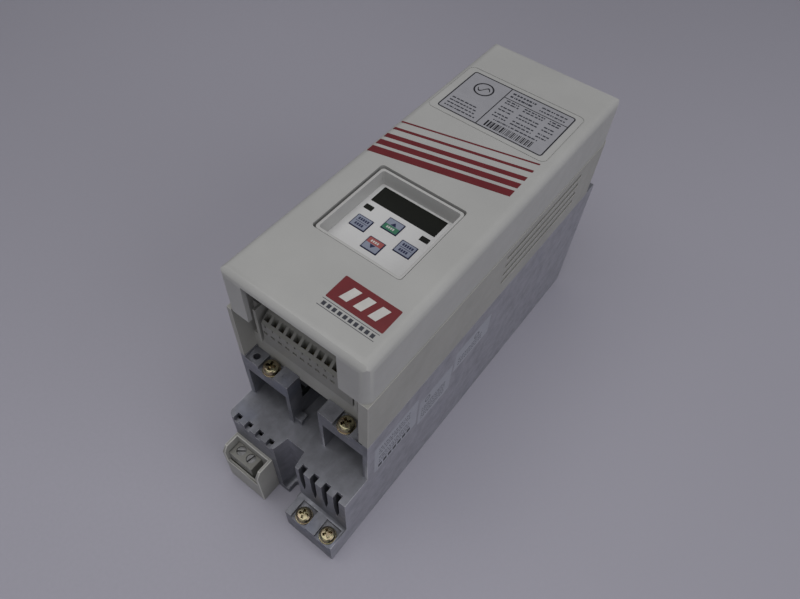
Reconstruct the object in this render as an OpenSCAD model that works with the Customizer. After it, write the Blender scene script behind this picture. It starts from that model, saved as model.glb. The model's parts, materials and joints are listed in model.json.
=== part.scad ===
// Variable frequency drive lying on its mounting face.
// +Z points out of the front panel, +Y to the fan end and +X to the side with the stickers.
// The origin is under the middle of the whole drive, on the mounting face.

/* [Overall size] */
// Width across the side walls
body_w = 90; // [88:0.5:92]
// Depth from the mounting face to the front panel
body_d = 181; // [180:0.5:184]
// Length of the plastic front cover
cover_l = 238; // [236:0.5:242]
// How far the metal housing passes the cover at the fan end
metal_step = 8; // [7:0.5:10]
// How far the feet stand out in front of the cover
foot_l = 19.5; // [18:0.5:21]
// How far the earth ledge stands out in front of the feet
ledge_l = 14.5; // [14:0.5:16]
// Length of the mounting tongue at the fan end
tongue_l = 12; // [11:0.5:14]

/* [Heights] */
// Height of the seam between the front cover and the lower housing
seam_z = 149; // [148:0.5:150]
// Height of the seam between the lower housing and the metal
metal_z = 105; // [104.5:0.5:106]
// Top of the feet, which is also the top of the base plate
foot_z = 62; // [61:0.5:62]
// Top of the earth tabs
tab_z = 103.5; // [103:0.5:104]
// Top of the earth ledge
ledge_z = 22; // [20:0.5:24]

/* [Walls] */
// Thickness of the metal side walls
metal_wall = 3.5; // [3:0.1:4]
// Thickness of the plastic walls
plastic_wall = 3; // [2.5:0.1:3.2]
// Radius of the rounded cover edges
cover_r = 5.5; // [4:0.5:7]

/* [Mounting] */
// Diameter of the mounting slot and hole
mount_d = 7; // [6:0.5:7.5]
// Thickness of the mounting flanges
flange_t = 4.5; // [4:0.5:6]
// Diameter of the free threaded earth holes
earth_d = 4.2; // [3.3:0.1:4.4]

/* [Operator] */
// Width of the operator module
op_w = 52; // [51:0.5:53]
// Length of the operator module
op_l = 53.4; // [52.5:0.1:54]
// Finger gap between the operator and the cover, at its left and far sides
op_gap = 1.6; // [1:0.1:1.8]
// Gap between the operator and the cover at its right and near sides
op_fit = 0.35; // [0.15:0.05:0.4]
// Depth of the key pocket below the rim
pocket_d = 9.2; // [8:0.1:9.4]
// Gap between a key cap and its hole
key_gap = 0.2; // [0.15:0.05:0.4]

/* [Terminals] */
// Number of control terminals
pole_count = 12; // [8:1:12]
// Pitch of the control terminals
pole_pitch = 5.08; // [5:0.01:5.08]

/* [Cooling] */
// Thickness of one cooling fin
fin_t = 2.6; // [2:0.1:3.2]
// Pitch of the cooling fins
fin_pitch = 8.5; // [8.4:0.05:8.5]
// Number of fan blades
blade_count = 7; // [5:1:9]

/* [Hidden] */
$fn = 48;

// Places along the length
total_l = tongue_l + metal_step + cover_l + foot_l + ledge_l;
near = -total_l / 2 + ledge_l + foot_l;   // near face of the cover
far = near + cover_l;                     // far face of the cover
metal_far = far + metal_step;             // far end of the metal
foot_y = near - foot_l;                   // end face of the feet
ledge_y = foot_y - ledge_l;               // end face of the ledge
half_w = body_w / 2;
inner_x = half_w - metal_wall;            // inside of the metal side walls

// Earth tabs and the ribs under them
tab_l = 9.7;
tab_t = 12.5;
tab_in = [-10.5, 11];                     // inner edges of the left and right tabs
tab_screw_x = [-26.5, 27];
tab_screw_y = near + 4.5;
free_hole_x = [-37, 37.5];
seat_w = 11.3;                            // width of a screw seat
seat_d = 3;
rib_t = 2.6;
rib_l = 45;
rib_z = 80;
base_t = 4;                               // base plate thickness

// Feet
foot_wall = 2.7;
foot_in = 8.6;                            // half width of the notch at the front
foot_in_back = 6.5;                       // half width of the notch at the back
notch_l = 10;
foot_r = 4;                               // radius of the outer corners of the feet
slot_w = 4;
slot_z = [57.5, 34];                      // lowest point of a slot in the left and the right foot
slot_taper = [0.3, 10];                   // height of the tapered end of a slot
slot_tip = [1.7, 0.3];                    // half width of a slot at its lowest point
gap_count = 10;
ledge_x = 9;
ledge_screw_x = [19, 37.7];
ledge_screw_y = foot_y - 8.9;
ledge_seat = 11.4;

// Fan
fan_size = 60;
fan_t = 25;
fan_clear = 0.5;                          // room round the fan frame
guard_t = 1.6;
fan_y = metal_far - guard_t - 0.1 - fan_t;
fan_z = flange_t + fan_clear + fan_size / 2;
shelf_z = flange_t + fan_size + 2 * fan_clear;
duct_r = 28.5;
tip_r = 27.7;
hub_r = 14;
hub_wall = 1.5;
bearing_r = 4;
shaft_r = 1.5;
fan_pin_clear = 0.05;
fan_hole = 25;                            // fan screw offset from the axis

// Front cover
cover_x = half_w - 0.4;
cover_t = 2.5;
mouth_x = [-29.5, 27.5];
mouth_z = body_d - 4.3;
op_x = -0.4;
op_y = near + 73.45;
op_top = body_d - 0.2;
op_low = body_d - 23;
collar_t = 1.5;
print_t = 0.1;
label_x = [-35.5, 33.2];
label_y = near + 160.5;
label_l = 41;
ridge_x = [-40.4, 37.5];
ridge_y = near + 157;
ridge_l = 48;
ridge_w = 0.6;

// Inside the operator
face_z = op_top - pocket_d;               // top of the face plate
face_t = 1.2;
op_wall = 1.5;
key_w = 9.6;
key_l = 8.4;
key_proud = 0.35;
key_low = 4.2;                            // from the face down to the key's foot
key_places = [[-15.8, 22.6], [12, 22.7], [-1.9, 30.7], [-1.9, 14.7]];  // from the operator's near edge
op_near = op_y - op_l / 2;
board_t = 1.6;
op_board_z = face_z - 9.4;
window_x = [-22.3, 18.3];
window_y = op_near + 38.2;
window_l = 12.2;
led_x = [-19.6, 15.6];
led_y = [op_near + 31.7, op_near + 32];
led_w = 5.2;
led_l = 3.4;

// Control terminals
pole_x0 = -30;
plug_x = [pole_x0 - 1.9, pole_x0 + (pole_count - 1) * pole_pitch + 2.6];
plug_y = near + 8.5;
plug_l = 10.5;
plug_z = 118.3;
plug_h = 23.7;
plug_slope = [6.5, 5.5];                  // depth and height of the sloping face with the screw wells
well_w = 3.4;
well_y = plug_y + 3.4;
ledge_wall_y = near + 9.8;
ledge_wall_z = 118;

// Boards
control_z = plug_z;
control_y = [near + 19.5, near + 142];
power_z = 86;
power_y = [near + 16, near + 214];
board_x = 39;

// Sensor terminal shroud
shroud_x = [-42, -12.5];
shroud_l = 13.6;
shroud_wall = 2;
shroud_top = 40;
shroud_front = 23;
sensor_top = 32;
sensor_pole_x = [5, 13.2];                // screws, from the block's left side
sensor_screw_y = foot_y - 5.6;

metal = [0.60, 0.61, 0.64];
ivory = [0.86, 0.85, 0.80];
beige = [0.74, 0.73, 0.67];
zinc = [0.78, 0.70, 0.42];
dark = [0.10, 0.10, 0.11];
board_green = [0.10, 0.34, 0.20];
brass = [0.78, 0.64, 0.32];
red = [0.48, 0.06, 0.08];

// A box given by its lowest and highest corners
module block(low, high) {
    translate(low) cube(high - low);
}

// A box that is the same on both sides of x = 0
module mirrored_block(low, high) {
    for (side = [0, 1]) mirror([side, 0, 0]) block(low, high);
}

// A flat rectangle with round corners, from its lowest corner
module rounded_rect(size, r) {
    for (x = [r, size[0] - r], y = [r, size[1] - r]) translate([x, y]) circle(r);
    translate([r, 0]) square([size[0] - 2 * r, size[1]]);
    translate([0, r]) square([size[0], size[1] - 2 * r]);
}

// An upright prism with round corners, given by its lowest and highest corners
module rounded_block(low, high, r) {
    translate(low) linear_extrude(high[2] - low[2]) rounded_rect([high[0] - low[0], high[1] - low[1]], r);
}

// A cylinder along +Y from the given point
module along_y(p, r, l) {
    translate(p) rotate([-90, 0, 0]) cylinder(r = r, h = l);
}

// A pan-head screw seen from its seat: head up, shank down, with a cross recess
module pan_screw(head_r, head_h, shank_r, shank_l) {
    difference() {
        union() {
            cylinder(r = head_r, h = head_h * 0.6);
            translate([0, 0, head_h * 0.6]) cylinder(r1 = head_r, r2 = head_r * 0.7, h = head_h * 0.4);
        }
        for (turn = [0, 90]) rotate([0, 0, turn + 20])
            translate([-head_r * 0.5, -head_r * 0.11, head_h * 0.4]) cube([head_r, head_r * 0.22, head_h]);
    }
    translate([0, 0, -shank_l]) cylinder(r = shank_r, h = shank_l);
}

// A slotted cheese-head screw: head up from z = 0, shank down
module slotted_screw(head_r, head_h, shank_r, shank_l, turn) {
    difference() {
        cylinder(r = head_r, h = head_h);
        rotate([0, 0, turn]) translate([-head_r - 1, -head_r * 0.16, head_h * 0.45])
            cube([2 * head_r + 2, head_r * 0.32, head_h]);
    }
    translate([0, 0, -shank_l]) cylinder(r = shank_r, h = shank_l);
}

// ---------------------------------------------------------------- metal

// One earth tab: side is 0 for left and 1 for right
module earth_tab(side) {
    outer = side == 0 ? -inner_x - 1 : tab_in[1];
    inner = side == 0 ? tab_in[0] : inner_x + 1;
    difference() {
        block([outer, near, tab_z - tab_t], [inner, near + tab_l, tab_z]);
        translate([tab_screw_x[side] - seat_w / 2, near - 1, tab_z - seat_d])
            cube([seat_w, tab_l + 2, seat_d + 1]);
        translate([tab_screw_x[side], tab_screw_y, 0]) cylinder(r = 2.5, h = tab_z + 1);
        translate([free_hole_x[side], tab_screw_y, 0]) cylinder(r = earth_d / 2, h = tab_z + 1);
    }
}

// The notch between the feet, as a flat shape grown by a margin
module notch_shape(grow) {
    polygon([
        [-foot_in - grow, foot_y - 1], [foot_in + grow, foot_y - 1],
        [foot_in_back + grow, foot_y + notch_l + grow], [-foot_in_back - grow, foot_y + notch_l + grow]
    ]);
}

// Slots where the fin gaps come out of the feet: short and square on the left, long and pointed on the right
module foot_slots() {
    for (i = [0 : gap_count - 1]) {
        x = fin_pitch * (i - (gap_count - 1) / 2);
        side = x < 0 ? 0 : 1;
        low = slot_z[side];
        wide = low + slot_taper[side];
        tip = slot_tip[side];
        if (abs(x) > foot_in + 3)
            translate([x, foot_y + foot_wall + 1.5, 0]) rotate([90, 0, 0]) linear_extrude(2 * foot_wall + 2)
                polygon([[-tip, low], [tip, low], [slot_w / 2, wide], [slot_w / 2, foot_z + 1],
                         [-slot_w / 2, foot_z + 1], [-slot_w / 2, wide]]);
    }
}

// What is cut away to round the outer corner of a foot
module foot_corner() difference() {
    translate([-half_w - 1, foot_y - 1, -1]) cube([foot_r + 1, foot_r + 1, foot_z + 2]);
    translate([-half_w + foot_r, foot_y + foot_r, -2]) cylinder(r = foot_r, h = foot_z + 4);
}

module ledge() {
    difference() {
        block([ledge_x, ledge_y, 0], [half_w, foot_y + 1, ledge_z]);
        for (x = ledge_screw_x) {
            translate([x - ledge_seat / 2, ledge_y - 1, ledge_z - seat_d - 0.5])
                cube([ledge_seat, ledge_l - 1.4, seat_d + 2]);
            translate([x, ledge_screw_y, 6]) cylinder(r = 2.5, h = ledge_z);
        }
    }
}

module heatsink_housing() color(metal) {
    difference() {
        union() {
            mirrored_block([inner_x, near, 0], [half_w, metal_far, metal_z]);
            mirrored_block([inner_x, foot_y, 0], [half_w, near + 1, foot_z]);
            block([-half_w, foot_y, 0], [half_w, foot_y + foot_wall, foot_z]);
            difference() {
                block([-inner_x - 1, foot_y, foot_z - base_t], [inner_x + 1, fan_y - 1, foot_z]);
                translate([0, 0, -1]) linear_extrude(foot_z + 2) notch_shape(0);
            }
            linear_extrude(foot_z) intersection() {
                notch_shape(2.5);
                translate([-20, foot_y]) square([40, 20]);
            }
            ledge();
        }
        translate([0, 0, flange_t + 1.5]) linear_extrude(foot_z) notch_shape(0);
        linear_extrude(40, center = true) {
            translate([0, foot_y + 5]) circle(mount_d / 2);
            translate([-mount_d / 2, foot_y - 1]) square([mount_d, 6]);
        }
        foot_slots();
        foot_corner();
        // shallow bed for the side stickers
        side_label_shapes(half_w - 0.15, 1);
    }
    earth_tab(0);
    earth_tab(1);
    // ribs that carry the inner edges of the tabs
    block([tab_in[0] - rib_t, near, foot_z - 1], [tab_in[0], near + tab_l, tab_z - tab_t + 1]);
    block([tab_in[1], near, foot_z - 1], [tab_in[1] + rib_t, near + tab_l, tab_z - tab_t + 1]);
    block([tab_in[0] - rib_t, near + tab_l - 1, foot_z - 1], [tab_in[0], near + rib_l, rib_z]);
    block([tab_in[1], near + tab_l - 1, foot_z - 1], [tab_in[1] + rib_t, near + rib_l, rib_z]);
    // small boss beside the left rib
    block([tab_in[0] - 1, near + 1.5, foot_z - 1], [tab_in[0] + 5, near + 7, foot_z + 5]);
    // fan bay: floor, shelf over the fan and side blocks
    block([-inner_x - 1, fan_y - 1, 0], [inner_x + 1, metal_far, flange_t]);
    block([-inner_x - 1, fan_y - 2, shelf_z], [inner_x + 1, metal_far, shelf_z + base_t]);
    block([-inner_x - 1, fan_y - 2, foot_z - base_t], [inner_x + 1, fan_y - 0.5, shelf_z + 1]);
    mirrored_block([fan_size / 2 + fan_clear, fan_y - 0.5, flange_t - 1],
                   [inner_x + 1, metal_far - guard_t - 0.2, shelf_z + 1]);
    block([-inner_x - 1, metal_far - 3, shelf_z + 1], [inner_x + 1, metal_far, metal_z]);
    block([-inner_x - 1, far - 1, metal_z - 3], [inner_x + 1, metal_far - 1, metal_z]);
    // mounting tongue
    difference() {
        rounded_block([-12, metal_far - 6, 0], [12, metal_far + tongue_l, flange_t], 4);
        translate([0, metal_far + tongue_l / 2, -1]) cylinder(r = mount_d / 2, h = flange_t + 2);
    }
}

module cooling_fins() color(metal) {
    for (j = [-4 : 4]) {
        start = abs(j) < 2 ? foot_y + notch_l + 3 : foot_y + foot_wall + 0.1;
        block([fin_pitch * j - fin_t / 2, start, 1], [fin_pitch * j + fin_t / 2, fan_y - 7, foot_z - base_t]);
    }
}

// Stickers on the right side wall, from the given depth outward
module side_label_shapes(x, t) {
    for (label = [[6, 39, 60, 31], [47, 33, 54, 28], [82, 38, 70, 21]])
        translate([x, near + label[0], label[2]]) rotate([90, 0, 90])
            linear_extrude(t) rounded_rect([label[1], label[3]], 1.5);
}

module side_labels() color([0.68, 0.69, 0.72]) side_label_shapes(half_w - 0.15, 0.15);

// ---------------------------------------------------------------- plastic shells

module lower_housing() color(beige) {
    wall_far = far + 2;
    difference() {
        rounded_block([-half_w, near - 20, metal_z], [half_w, wall_far, seam_z], 6);
        rounded_block([-half_w + plastic_wall, near - 30, metal_z - 1],
                      [half_w - plastic_wall, wall_far - plastic_wall, seam_z + 1], 3.5);
        block([-half_w - 1, near - 40, 0], [half_w + 1, near, body_d]);
        for (i = [0 : 3]) block([-half_w - 1, near + 121, metal_z + 13 + 7.3 * i],
                                [half_w + 1, near + 207, metal_z + 16.2 + 7.3 * i]);
    }
    // wider front edge on the right
    block([half_w - 6, near, metal_z], [half_w - 1, near + 3, seam_z]);
    // wall behind the earth tabs, with posts beside the terminal strip
    block([-half_w + 1, ledge_wall_y, metal_z], [half_w - 1, ledge_wall_y + 2.8, ledge_wall_z]);
    block([-inner_x + 0.2, ledge_wall_y, tab_z - 3], [inner_x - 0.2, ledge_wall_y + 2.8, metal_z + 1]);
    for (x = [plug_x[0] - 4.5, plug_x[1] + 1.2])
        block([x, ledge_wall_y - 1.5, ledge_wall_z - 2], [x + 1.8, ledge_wall_y + 9, seam_z - 4]);
    block([-half_w + 1, ledge_wall_y + 4, metal_z + 1], [plug_x[0] - 3.5, ledge_wall_y + 6.5, seam_z - 7]);
    block([plug_x[1] + 2, ledge_wall_y + 0.5, metal_z + 1], [half_w - 1, ledge_wall_y + 3, seam_z - 7]);
    // partition bars that shade the vent slots
    mirrored_block([half_w - 5.5, near + 118, metal_z + 1], [half_w - 2.9, near + 120, seam_z - 6]);
    mirrored_block([half_w - 5.5, near + 208, metal_z + 1], [half_w - 2.9, near + 210, seam_z - 6]);
}

// The cover's outer form, rounded at the top edges and the upright corners
module cover_form(side, top, low, shrink, r) {
    length = cover_l - 2 * shrink;
    intersection() {
        translate([-side, near + shrink, low]) linear_extrude(top - low)
            rounded_rect([2 * side, length], r);
        translate([-side, far - shrink, low - 20]) rotate([90, 0, 0]) linear_extrude(length)
            rounded_rect([2 * side, top - low + 20], r);
        translate([-side, near + shrink, low - 20]) rotate([90, 0, 90]) linear_extrude(2 * side)
            rounded_rect([length, top - low + 20], r);
    }
}

module front_cover() color(ivory) {
    hole_low = [op_x - op_w / 2 - op_gap, op_near - op_fit];
    hole_high = [op_x + op_w / 2 + op_fit, op_near + op_l + op_gap];
    difference() {
        union() {
            difference() {
                cover_form(cover_x, body_d, seam_z, 0, cover_r);
                cover_form(cover_x - cover_t, body_d - cover_t, seam_z - 1, cover_t, cover_r - 2);
            }
            rounded_block([hole_low[0] - collar_t, hole_low[1] - collar_t, body_d - 14],
                          [hole_high[0] + collar_t, hole_high[1] + collar_t, body_d - 1], 3.5);
        }
        rounded_block([hole_low[0], hole_low[1], body_d - 30], [hole_high[0], hole_high[1], body_d + 1], 2);
        // opening in the near face for the control wires
        block([mouth_x[0], near - 1, seam_z - 1], [mouth_x[1], near + 6, mouth_z]);
        // fine groove round the rating label
        difference() {
            rounded_block([ridge_x[0], ridge_y, body_d - 0.4], [ridge_x[1], ridge_y + ridge_l, body_d + 1], 4);
            rounded_block([ridge_x[0] + ridge_w, ridge_y + ridge_w, body_d - 1],
                          [ridge_x[1] - ridge_w, ridge_y + ridge_l - ridge_w, body_d + 2], 3.4);
        }
    }
    // guide tongues that reach down inside the lower housing
    for (y = [near + 40, near + 110, near + 214]) {
        mirrored_block([half_w - plastic_wall - 2.3, y, seam_z - 6],
                       [half_w - plastic_wall - 0.4, y + 12, seam_z + 6]);
        mirrored_block([half_w - plastic_wall - 2, y, seam_z + 0.5],
                       [cover_x - cover_t + 1, y + 12, seam_z + 6]);
    }
}

module rating_label() color([0.72, 0.72, 0.73])
    rounded_block([label_x[0], label_y, body_d], [label_x[1], label_y + label_l, body_d + print_t], 2);

// Five slanted bands that get thinner towards the fan end
module stripe_print() color(red) {
    ends = [-41.2, 36];
    low = [104.9, 112.4, 119.5, 127.5, 134.9];
    width = [5.2, 4.3, 3.4, 2, 1.2];
    rise = 19.4;
    translate([0, 0, body_d]) linear_extrude(print_t)
        for (i = [0 : 4]) polygon([[ends[0], near + low[i]], [ends[1], near + low[i] + rise],
                                   [ends[1], near + low[i] + rise + width[i]],
                                   [ends[0], near + low[i] + width[i]]]);
}

module badge() color(red) {
    rounded_block([5.1, near + 19, body_d], [37.4, near + 33.6, body_d + print_t], 0.6);
}

// ---------------------------------------------------------------- operator

module operator_frame() color(ivory) {
    low = [op_x - op_w / 2, op_near];
    high = [op_x + op_w / 2, op_near + op_l];
    difference() {
        rounded_block([low[0], low[1], op_low], [high[0], high[1], op_top], 2);
        rounded_block([low[0] + op_wall, low[1] + op_wall, face_z - face_t],
                      [high[0] - op_wall, high[1] - op_wall, op_top + 1], 1.5);
        // hollow below the shelf that carries the face plate
        block([low[0] + 3, low[1] + 3, op_low - 1], [high[0] - 3, high[1] - 3, op_top - 1]);
    }
}

module key_hole(place, grow, z0, z1) {
    translate([place[0] - key_w / 2 - grow, op_near + place[1] - key_l / 2 - grow, z0])
        cube([key_w + 2 * grow, key_l + 2 * grow, z1 - z0]);
}

module operator_face_plate() color([0.90, 0.90, 0.91]) difference() {
    rounded_block([op_x - op_w / 2 + op_wall + 0.05, op_near + op_wall + 0.05, face_z - face_t],
                  [op_x + op_w / 2 - op_wall - 0.05, op_near + op_l - op_wall - 0.05, face_z], 1.4);
    for (place = key_places) key_hole(place, key_gap, face_z - 5, face_z + 1);
    block([window_x[0], window_y, face_z - 5], [window_x[1], window_y + window_l, face_z + 1]);
    for (i = [0, 1]) translate([led_x[i] - led_w / 2, led_y[i], face_z - 5]) cube([led_w, led_l, 8]);
}

module display_window() color(dark)
    block([window_x[0] + 0.05, window_y + 0.05, face_z - face_t],
          [window_x[1] - 0.05, window_y + window_l - 0.05, face_z + 0.1]);

module led_windows() color(dark) for (i = [0, 1])
    translate([led_x[i] - led_w / 2 + 0.05, led_y[i] + 0.05, face_z - face_t])
        cube([led_w - 0.1, led_l - 0.1, face_t + 0.1]);

module display_block() color([0.16, 0.16, 0.17])
    block([window_x[0] + 1.2, window_y + 0.8, op_board_z + board_t],
          [window_x[1] - 1.2, window_y + window_l - 0.8, face_z - face_t - 0.3]);

module operator_leds() color([0.75, 0.12, 0.10]) for (i = [0, 1])
    translate([led_x[i], led_y[i] + led_l / 2, op_board_z + board_t])
        cylinder(r = 1.4, h = face_z - face_t - 0.4 - op_board_z - board_t);

module key_switches() color([0.14, 0.14, 0.15]) for (place = key_places)
    translate([place[0], op_near + place[1], op_board_z + board_t]) {
        translate([-3, -3, 0]) cube([6, 6, 2.2]);
        cylinder(r = 1.6, h = face_z - key_low - 0.65 - op_board_z - board_t);
    }

module operator_board() color(board_green)
    block([op_x - op_w / 2 + 3.2, op_near + 3.2, op_board_z],
          [op_x + op_w / 2 - 3.2, op_near + op_l - 3.2, op_board_z + board_t]);

module operator_back_cover() color(ivory) difference() {
    block([op_x - op_w / 2 + 3.05, op_near + 3.05, op_low],
          [op_x + op_w / 2 - 3.05, op_near + op_l - 3.05, op_low + 2]);
    translate([op_x - 16, op_y - 6.5, op_low - 1]) cube([32, 13, 4]);
}

module operator_plug() color([0.62, 0.63, 0.65]) {
    block([op_x - 15.8, op_y - 6.3, op_low - 4], [op_x + 15.8, op_y + 6.3, op_board_z]);
    block([op_x - 8.3, op_y - 4.2, op_low - 10], [op_x + 8.3, op_y + 4.2, op_low - 3]);
}

// A key cap with a foot that keeps it behind the face plate
module key_cap(place) {
    key_hole(place, 0, face_z - key_low, face_z + key_proud);
    key_hole(place, 0.9, face_z - 2.6, face_z - 1.6);
}

module key_left() color([0.55, 0.60, 0.68]) key_cap(key_places[0]);
module key_right() color([0.55, 0.60, 0.68]) key_cap(key_places[1]);
module key_up() color([0.20, 0.50, 0.30]) key_cap(key_places[2]);
module key_down() color([0.66, 0.24, 0.22]) key_cap(key_places[3]);

// ---------------------------------------------------------------- control side

module control_plug() color([0.80, 0.79, 0.74]) {
    back = plug_y + plug_l;
    difference() {
        translate([plug_x[0], 0, 0]) rotate([90, 0, 90]) linear_extrude(plug_x[1] - plug_x[0])
            polygon([[plug_y, plug_z], [back, plug_z], [back, plug_z + plug_h],
                     [plug_y + plug_slope[0], plug_z + plug_h], [plug_y, plug_z + plug_h - plug_slope[1]]]);
        for (i = [0 : pole_count - 1]) {
            x = pole_x0 + i * pole_pitch;
            // clamp screw well, wire entry, release slit and contact cavity
            block([x - well_w / 2, well_y - well_w / 2, plug_z + 11.6],
                  [x + well_w / 2, well_y + well_w / 2, plug_z + plug_h + 1]);
            block([x - 1.4, plug_y - 1, plug_z + 9.6], [x + 1.4, plug_y + 5, plug_z + 11.8]);
            block([x + 0.2, plug_y - 1, plug_z + 16], [x + 1.2, plug_y + 1.2, plug_z + 18]);
            block([x - 0.9, plug_y + 4, plug_z + 4.1], [x + 0.9, back + 1, plug_z + 5.9]);
        }
    }
}

module control_screws() color(zinc) for (i = [0 : pole_count - 1])
    translate([pole_x0 + i * pole_pitch, well_y, plug_z + 14.5])
        slotted_screw(1.6, 1.4, 1.1, 2.5, 15 + 40 * (i % 3));

module control_header() color([0.30, 0.31, 0.32])
    block([plug_x[0], plug_y + plug_l + 0.3, plug_z + board_t], [plug_x[1], plug_y + plug_l + 8, plug_z + 19]);

module header_pins() color(brass) for (i = [0 : pole_count - 1])
    translate([pole_x0 + i * pole_pitch - 0.5, plug_y + 6, plug_z + 4.5])
        cube([1, plug_l - 5.7, 1]);

module control_board() color(board_green)
    block([-board_x, control_y[0], control_z], [board_x, control_y[1], control_z + board_t]);

module processor() color(dark)
    block([-31, op_y + 12, control_z + board_t], [-9, op_y + 34, control_z + board_t + 2.4]);

module board_capacitors() color([0.20, 0.24, 0.42]) for (p = [[24, 5], [24, 18], [32, 5], [32, 18], [24, -34]])
    translate([p[0], op_y + 12 + p[1], control_z + board_t]) cylinder(r = 3.1, h = 11);

module operator_socket() color([0.18, 0.18, 0.19]) difference() {
    block([op_x - 15.8, op_y - 6.3, control_z + board_t], [op_x + 15.8, op_y + 6.3, op_low - 5]);
    translate([op_x - 8.8, op_y - 4.7, op_low - 12]) cube([17.6, 9.4, 10]);
}

module flat_cable() color([0.62, 0.62, 0.60]) {
    y = near + 138;
    block([-14, y - 2.5, power_z + board_t], [14, y + 2.5, power_z + board_t + 7]);
    block([-12.7, y - 0.5, power_z + board_t + 6], [12.7, y + 0.5, control_z - 6]);
    block([-14, y - 2.5, control_z - 7], [14, y + 2.5, control_z]);
}

// ---------------------------------------------------------------- power side

module power_board() color(board_green)
    block([-board_x, power_y[0], power_z], [board_x, power_y[1], power_z + board_t]);

module board_spacers() color(brass) {
    for (y = [power_y[0] + 36, power_y[0] + 105, power_y[1] - 6]) for (x = [-36, 36])
        translate([x, y, foot_z]) cylinder(r = 2.5, h = power_z - foot_z);
    for (x = [-35, 35], y = [control_y[0] + 12, control_y[1] - 4])
        translate([x, y, power_z + board_t]) cylinder(r = 2.5, h = control_z - power_z - board_t);
}

module inverter_module() color([0.16, 0.16, 0.18]) {
    y = near + 66;
    block([-31, y, foot_z], [31, y + 42, foot_z + 17]);
    for (x = [-27 : 6 : 27], side = [2, 40])
        translate([x - 0.6, y + side - 0.5, foot_z + 16]) cube([1.2, 1, power_z - foot_z - 16]);
}

module rectifier_module() color([0.20, 0.20, 0.22]) {
    y = near + 120;
    block([-24, y, foot_z], [24, y + 28, foot_z + 17]);
    for (x = [-18 : 9 : 18]) translate([x - 0.6, y + 14, foot_z + 16]) cube([1.2, 1, power_z - foot_z - 16]);
}

module dc_capacitors() color([0.14, 0.18, 0.32]) for (x = [-19, 19], y = [near + 160, near + 196])
    translate([x, y, power_z + board_t]) {
        cylinder(r = 17, h = 52);
        translate([0, 0, 52]) cylinder(r1 = 17, r2 = 15.5, h = 1.5);
    }

module film_capacitors() color([0.78, 0.62, 0.16]) for (y = [near + 92, near + 106])
    block([8, y, power_z + board_t], [34, y + 11, power_z + board_t + 20]);

module charging_relay() color([0.20, 0.30, 0.50])
    block([6, near + 40, power_z + board_t], [35, near + 53, power_z + board_t + 25]);

module mains_choke() color([0.60, 0.32, 0.14])
    translate([-20, near + 62, power_z + board_t + 7]) rotate_extrude() translate([11, 0]) circle(6);

module supply_transformer() color([0.72, 0.66, 0.30]) {
    block([-34, near + 92, power_z + board_t], [-8, near + 118, power_z + board_t + 4]);
    block([-32, near + 97, power_z + board_t + 3], [-10, near + 113, power_z + board_t + 24]);
    block([-28, near + 93, power_z + board_t + 3], [-14, near + 117, power_z + board_t + 20]);
}

// A row of wire clamps, its wire entries towards -Y and its screws on top
module power_terminal_row(x0, x1, poles) {
    y0 = near + 18;
    z1 = power_z - 2.4;
    pitch = (x1 - x0) / poles;
    difference() {
        block([x0, y0, foot_z + 0.2], [x1, y0 + 18, z1]);
        for (i = [0 : poles - 1]) {
            x = x0 + pitch * (i + 0.5);
            block([x - 2.8, y0 - 1, foot_z + 3], [x + 2.8, y0 + 12, foot_z + 10]);
            translate([x, y0 + 6, foot_z + 12]) cylinder(r = 2.6, h = 20);
        }
    }
}

module line_terminals() color([0.24, 0.25, 0.26])
    power_terminal_row(-inner_x + 0.5, tab_in[0] - rib_t - 0.4, 3);

module motor_terminals() color([0.24, 0.25, 0.26])
    power_terminal_row(tab_in[1] + rib_t + 0.4, inner_x - 0.5, 3);

module power_terminal_screws() color(zinc) {
    left = [-inner_x + 0.5, tab_in[0] - rib_t - 0.4];
    right = [tab_in[1] + rib_t + 0.4, inner_x - 0.5];
    for (row = [left, right], i = [0 : 2])
        translate([row[0] + (row[1] - row[0]) / 3 * (i + 0.5), near + 24, foot_z + 15.5])
            slotted_screw(2.4, 2.5, 1.6, 3, 30 * i);
}

// ---------------------------------------------------------------- earth screws

module tab_washers() color(zinc) for (x = tab_screw_x)
    translate([x, tab_screw_y, tab_z - seat_d]) difference() {
        cylinder(r = 5.2, h = 1);
        translate([0, 0, -1]) cylinder(r = 2.7, h = 3);
    }

module tab_screws() color(zinc) for (x = tab_screw_x)
    translate([x, tab_screw_y, tab_z - seat_d + 1]) pan_screw(4.75, 3.4, 2.45, 12);

module ledge_washers() color(zinc) for (x = ledge_screw_x)
    translate([x, ledge_screw_y, ledge_z - seat_d - 0.5]) difference() {
        cylinder(r = 5.3, h = 1);
        translate([0, 0, -1]) cylinder(r = 2.7, h = 3);
    }

module ledge_screws() color(zinc) for (x = ledge_screw_x)
    translate([x, ledge_screw_y, ledge_z - seat_d + 0.5]) pan_screw(4.9, 3.6, 2.45, 11);

// ---------------------------------------------------------------- sensor terminal

module terminal_shroud() color(beige) difference() {
    translate([shroud_x[0], 0, 0]) rotate([90, 0, 90]) linear_extrude(shroud_x[1] - shroud_x[0])
        polygon([[foot_y, 0], [foot_y, shroud_top], [foot_y - 10.5, shroud_top],
                 [foot_y - shroud_l, shroud_top - 5], [foot_y - shroud_l, 0]]);
    block([shroud_x[0] + shroud_wall, foot_y - shroud_l + shroud_wall, 3],
          [shroud_x[1] - shroud_wall, foot_y - shroud_wall, shroud_top + 1]);
    block([shroud_x[0] + shroud_wall, foot_y - shroud_l - 1, shroud_front],
          [shroud_x[1] - shroud_wall, foot_y - shroud_l + shroud_wall + 1, shroud_top + 1]);
}

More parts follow.
